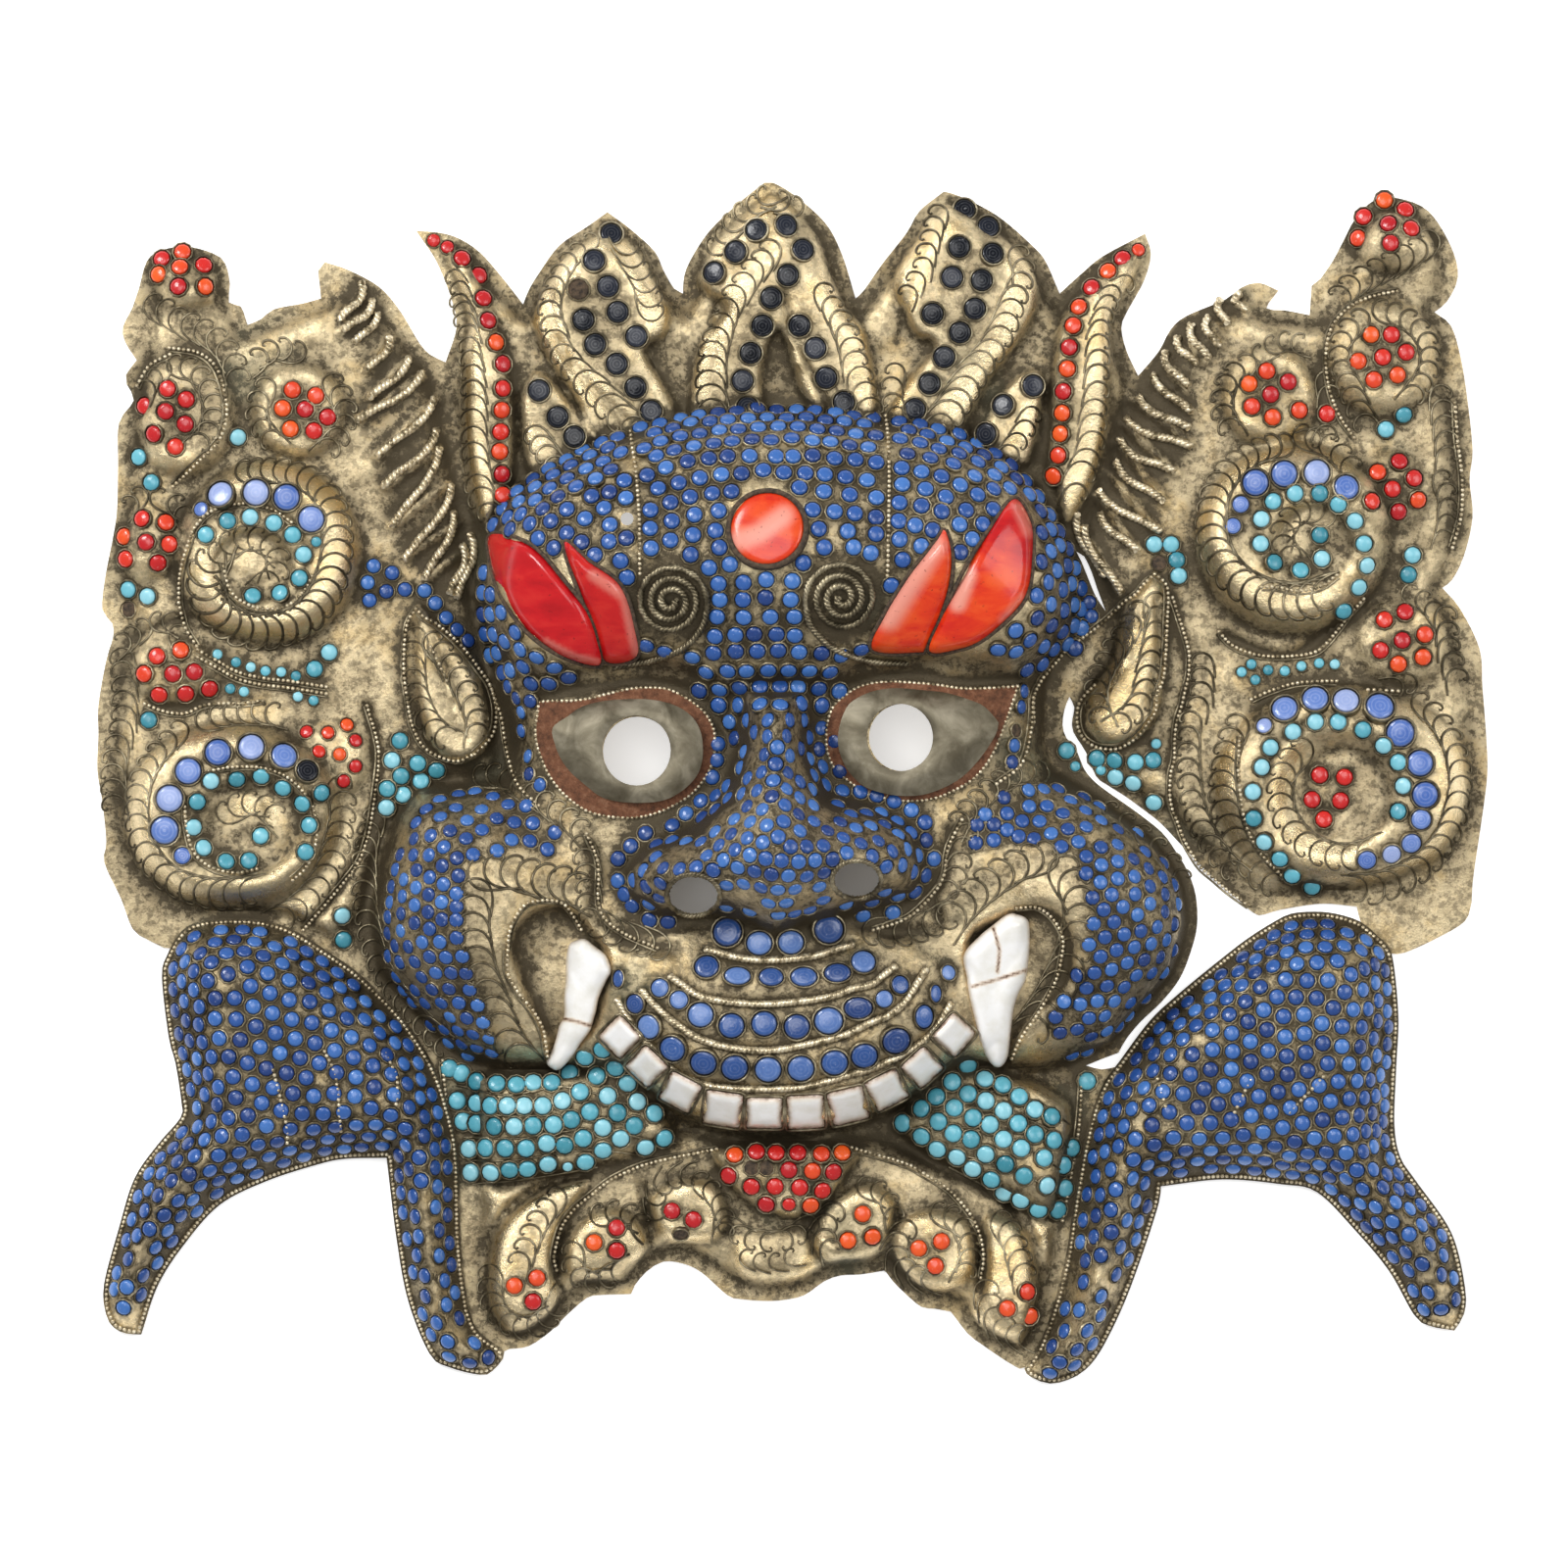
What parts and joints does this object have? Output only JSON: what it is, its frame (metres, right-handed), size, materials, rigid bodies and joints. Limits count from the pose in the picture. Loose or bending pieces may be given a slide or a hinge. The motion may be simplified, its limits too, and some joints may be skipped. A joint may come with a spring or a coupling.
{
  "type": "kirtimukha wall mask",
  "caption": "Kirtimukha wall mask of hammered white metal with flame crown, volute side panels and arms, set with stones, coral brows and shell fangs and teeth.",
  "frame": {"origin": "centre of the bounding box in plan, on the floor that the flat rim rests on", "axes": "+X to the viewer's right, +Y towards the crown, +Z out of the face; the mask lies face up"},
  "size_m": [0.3962, 0.342, 0.0591],
  "materials": {
    "white_metal": "silvered and hammered, worn bright on the high parts and dark in the hollows",
    "dark_metal": "blackened",
    "eye_metal": "dull grey, scratched",
    "coral": "polished coral",
    "shell": "polished shell with brown stains",
    "periwinkle_glass": "opaque glass, worn"
  },
  "bodies": {
    "root": {"mask_sheet": "white_metal", "left_arm": "white_metal", "right_arm": "white_metal", "eye_plate_left": "eye_metal", "eye_plate_right": "eye_metal", "brow_coral_left_outer": "coral", "brow_coral_left_inner": "coral", "brow_coral_right_inner": "coral", "brow_coral_right_outer": "coral", "third_eye_bezel": "dark_metal", "third_eye_coral": "coral", "brow_spiral_left": "white_metal", "brow_spiral_right": "white_metal", "fang_left": "shell", "fang_right": "shell", "tooth_01": "shell", "tooth_02": "shell", "tooth_03": "shell", "tooth_04": "shell", "tooth_05": "shell", "tooth_06": "shell", "tooth_07": "shell", "tooth_08": "shell", "tooth_09": "shell", "tooth_10": "shell", "cabochon_01": "periwinkle_glass", "cabochon_02": "periwinkle_glass", "cabochon_03": "periwinkle_glass", "cabochon_04": "periwinkle_glass", "cabochon_05": "periwinkle_glass", "cabochon_06": "periwinkle_glass", "cabochon_07": "periwinkle_glass", "cabochon_08": "periwinkle_glass", "cabochon_09": "periwinkle_glass", "cabochon_10": "periwinkle_glass", "cabochon_11": "periwinkle_glass", "cabochon_12": "periwinkle_glass", "cabochon_13": "periwinkle_glass", "cabochon_14": "periwinkle_glass", "cabochon_15": "periwinkle_glass", "cabochon_16": "periwinkle_glass", "cabochon_17": "periwinkle_glass", "cabochon_18": "periwinkle_glass", "cabochon_19": "periwinkle_glass", "cabochon_20": "periwinkle_glass", "cabochon_21": "periwinkle_glass", "cabochon_22": "periwinkle_glass", "cabochon_23": "periwinkle_glass", "cabochon_24": "periwinkle_glass", "cabochon_25": "periwinkle_glass"}
  },
  "joints": []
}
